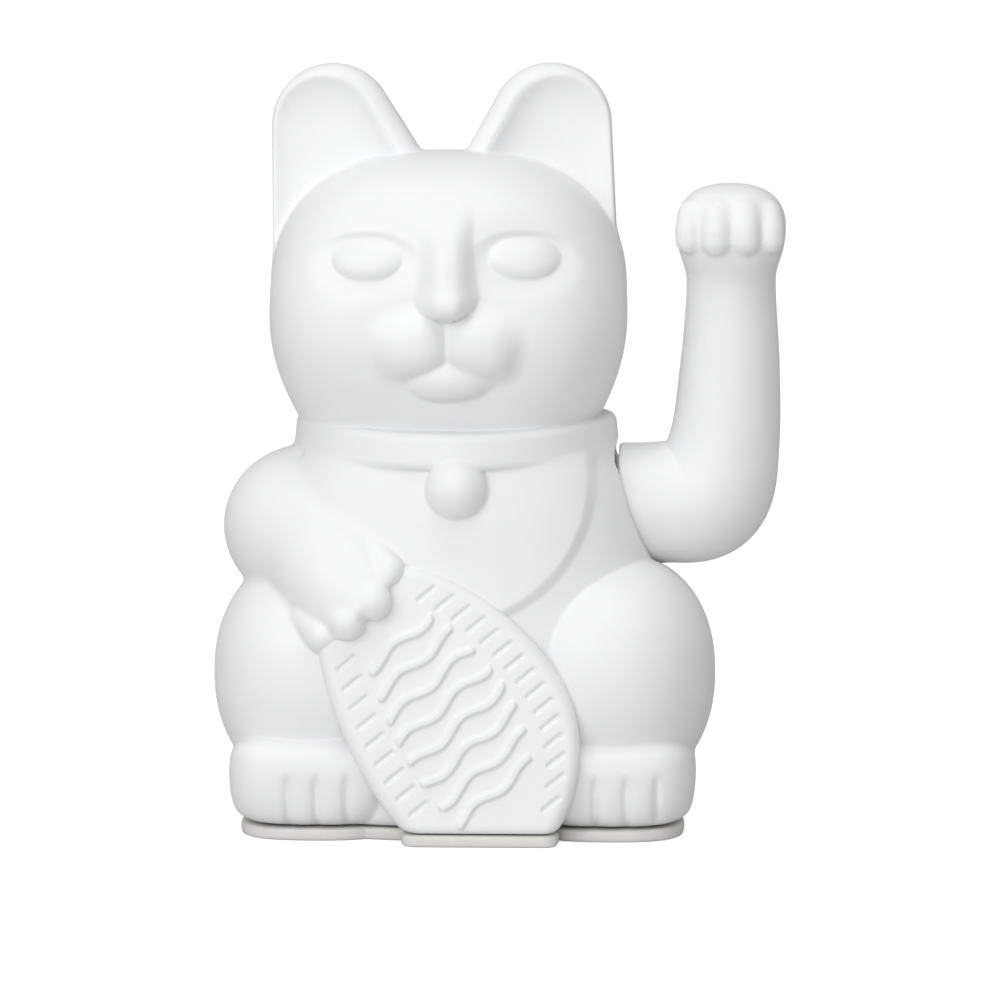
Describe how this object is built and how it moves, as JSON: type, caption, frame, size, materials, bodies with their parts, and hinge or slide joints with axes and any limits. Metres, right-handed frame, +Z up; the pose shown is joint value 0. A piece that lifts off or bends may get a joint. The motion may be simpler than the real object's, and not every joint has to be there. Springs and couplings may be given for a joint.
{
  "type": "beckoning cat figurine",
  "caption": "Seated beckoning cat figurine in matt white plastic, with a coin under one paw and a raised arm that swings on an axle.",
  "frame": {"origin": "middle of the flat underside of the base plate, on the surface that the figurine stands on", "axes": "+Z up, the cat faces -Y, and +X is the cat's own left, where the raised arm is"},
  "size_m": [0.1126, 0.083, 0.1502],
  "materials": {
    "figurine": "smooth moulded plastic, even matt white",
    "base": "moulded plastic, off-white",
    "grey_plastic": "moulded plastic, mid grey",
    "black_plastic": "moulded plastic, black",
    "steel": "plain steel",
    "magnet_plating": "bright plating",
    "copper": "enamelled copper wire",
    "board": "green resist over glass laminate",
    "cell_sleeve": "printed film, plain blue",
    "red_sleeve": "soft insulation, red",
    "black_sleeve": "soft insulation, black"
  },
  "bodies": {
    "housing": {"front_shell": "figurine", "back_shell": "figurine", "base_plate": "base", "battery_cell": "cell_sleeve", "spring_contact": "steel", "plate_contact": "steel", "circuit_board": "board", "driver_chip": "black_plastic", "capacitor": "black_plastic", "coil_bobbin": "black_plastic", "coil_winding": "copper", "mechanism_frame": "grey_plastic", "base_screw_1": "steel", "base_screw_2": "steel", "base_screw_3": "steel", "base_screw_4": "steel", "board_screw_1": "steel", "board_screw_2": "steel", "frame_screw_1": "steel", "frame_screw_2": "steel", "lead_black": "black_sleeve", "lead_red": "red_sleeve"},
    "waving_arm": {"arm_front_shell": "figurine", "arm_back_shell": "figurine", "arm_hub": "grey_plastic", "axle": "steel", "axle_clip": "steel", "pendulum_lever": "grey_plastic", "magnet": "magnet_plating", "counterweight": "steel"},
    "battery_door": {"battery_door": "base"}
  },
  "joints": [
    {"name": "arm_swing", "type": "hinge", "parent": "housing", "child": "waving_arm", "pos_m": [0.031, -0.001, 0.063], "axis": [1, 0, 0], "range_deg": [-20, 20]},
    {"name": "battery_door_hinge", "type": "hinge", "parent": "housing", "child": "battery_door", "pos_m": [-0.0307, 0.0145, 0.0003], "axis": [0, 1, 0], "range_deg": [0, 90]}
  ]
}
